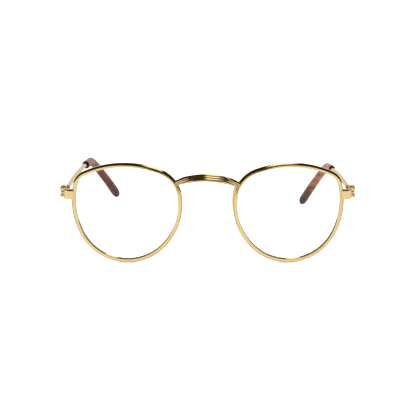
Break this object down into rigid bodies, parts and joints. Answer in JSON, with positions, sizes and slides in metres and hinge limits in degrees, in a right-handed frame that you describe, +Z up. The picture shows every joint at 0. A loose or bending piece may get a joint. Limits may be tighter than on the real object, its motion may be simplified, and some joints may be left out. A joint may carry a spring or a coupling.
{
  "type": "eyeglasses frame",
  "caption": "Wire eyeglasses frame with rounded rims, a ribbed bridge, screwed hinges and thin folding temples with marbled tips, shown open and without lenses.",
  "frame": {"origin": "Centre of the base of the box around the open frame, on the surface that it stands on.", "axes": "+X is the wearer's left, +Y runs from the front back to the temple tips, and +Z is up. The lens planes lean forward by 5 degrees at the top and each turns back by 3 degrees. Left and right are the wearer's own."},
  "size_m": [0.1306, 0.137, 0.0454],
  "materials": {
    "polished_gold": "polished gold plate",
    "gold_screw": "machined and gold plated",
    "marbled_acetate": "polished acetate with marbled brown figure"
  },
  "bodies": {
    "front": {"bridge": "polished_gold", "left_rim": "polished_gold", "left_closing_block_upper": "polished_gold", "left_closing_block_lower": "polished_gold", "left_closing_screw": "gold_screw", "left_endpiece": "polished_gold", "left_front_hinge": "polished_gold", "left_hinge_screw": "gold_screw", "right_rim": "polished_gold", "right_closing_block_upper": "polished_gold", "right_closing_block_lower": "polished_gold", "right_closing_screw": "gold_screw", "right_endpiece": "polished_gold", "right_front_hinge": "polished_gold", "right_hinge_screw": "gold_screw"},
    "left_temple": {"left_temple_hinge": "polished_gold", "left_temple_wire": "polished_gold", "left_temple_tip": "marbled_acetate"},
    "right_temple": {"right_temple_hinge": "polished_gold", "right_temple_wire": "polished_gold", "right_temple_tip": "marbled_acetate"}
  },
  "joints": [
    {"name": "left_temple_fold", "type": "hinge", "parent": "front", "child": "left_temple", "pos_m": [0.06371, -0.0568, 0.03099], "axis": [0, 0, 1], "range_deg": [0, 84]},
    {"name": "right_temple_fold", "type": "hinge", "parent": "front", "child": "right_temple", "pos_m": [-0.06371, -0.0568, 0.03099], "axis": [0, 0, -1], "range_deg": [0, 78]}
  ]
}
